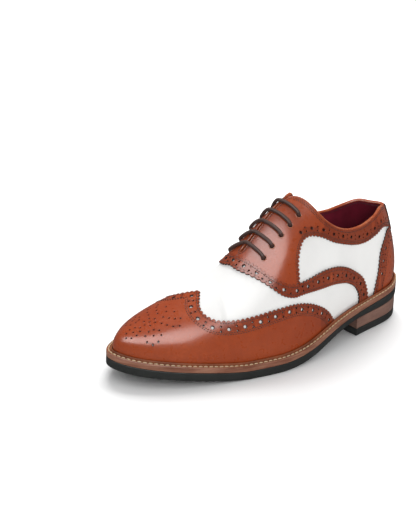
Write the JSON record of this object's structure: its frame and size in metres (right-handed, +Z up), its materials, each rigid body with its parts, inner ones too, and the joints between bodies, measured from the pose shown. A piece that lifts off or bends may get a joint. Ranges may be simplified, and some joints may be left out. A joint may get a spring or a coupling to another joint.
{
  "type": "spectator shoe",
  "caption": "Left two-tone laced dress shoe with a winged toe cap, closed throat, leather welt and stacked heel, standing empty on its sole.",
  "frame": {"origin": "on the floor, under the middle of the sole's box", "axes": "+Z up, the toe points to -Y and the outer side of this left shoe is +X"},
  "size_m": [0.1066, 0.308, 0.1316],
  "materials": {
    "outsole": "satin near-black rubber",
    "welt": "waxed mid-brown leather edge",
    "heel": "burnished stacked leather, dull brown",
    "lining": "soft matt burgundy lining leather",
    "white_leather": "smooth white calf, satin",
    "brown_leather": "polished cognac calf, glossy with a fine grain",
    "tongue": "dark brown leather, satin",
    "lace": "round waxed cotton lace"
  },
  "bodies": {
    "root": {"outsole": "outsole", "welt": "welt", "heel_block": "heel", "top_piece": "outsole", "insole": "lining", "upper": "white_leather", "tongue": "tongue", "wing_cap": "brown_leather", "vamp_band": "brown_leather", "facing_outer": "brown_leather", "facing_inner": "brown_leather", "heel_counter": "brown_leather", "lace": "lace"}
  },
  "joints": []
}
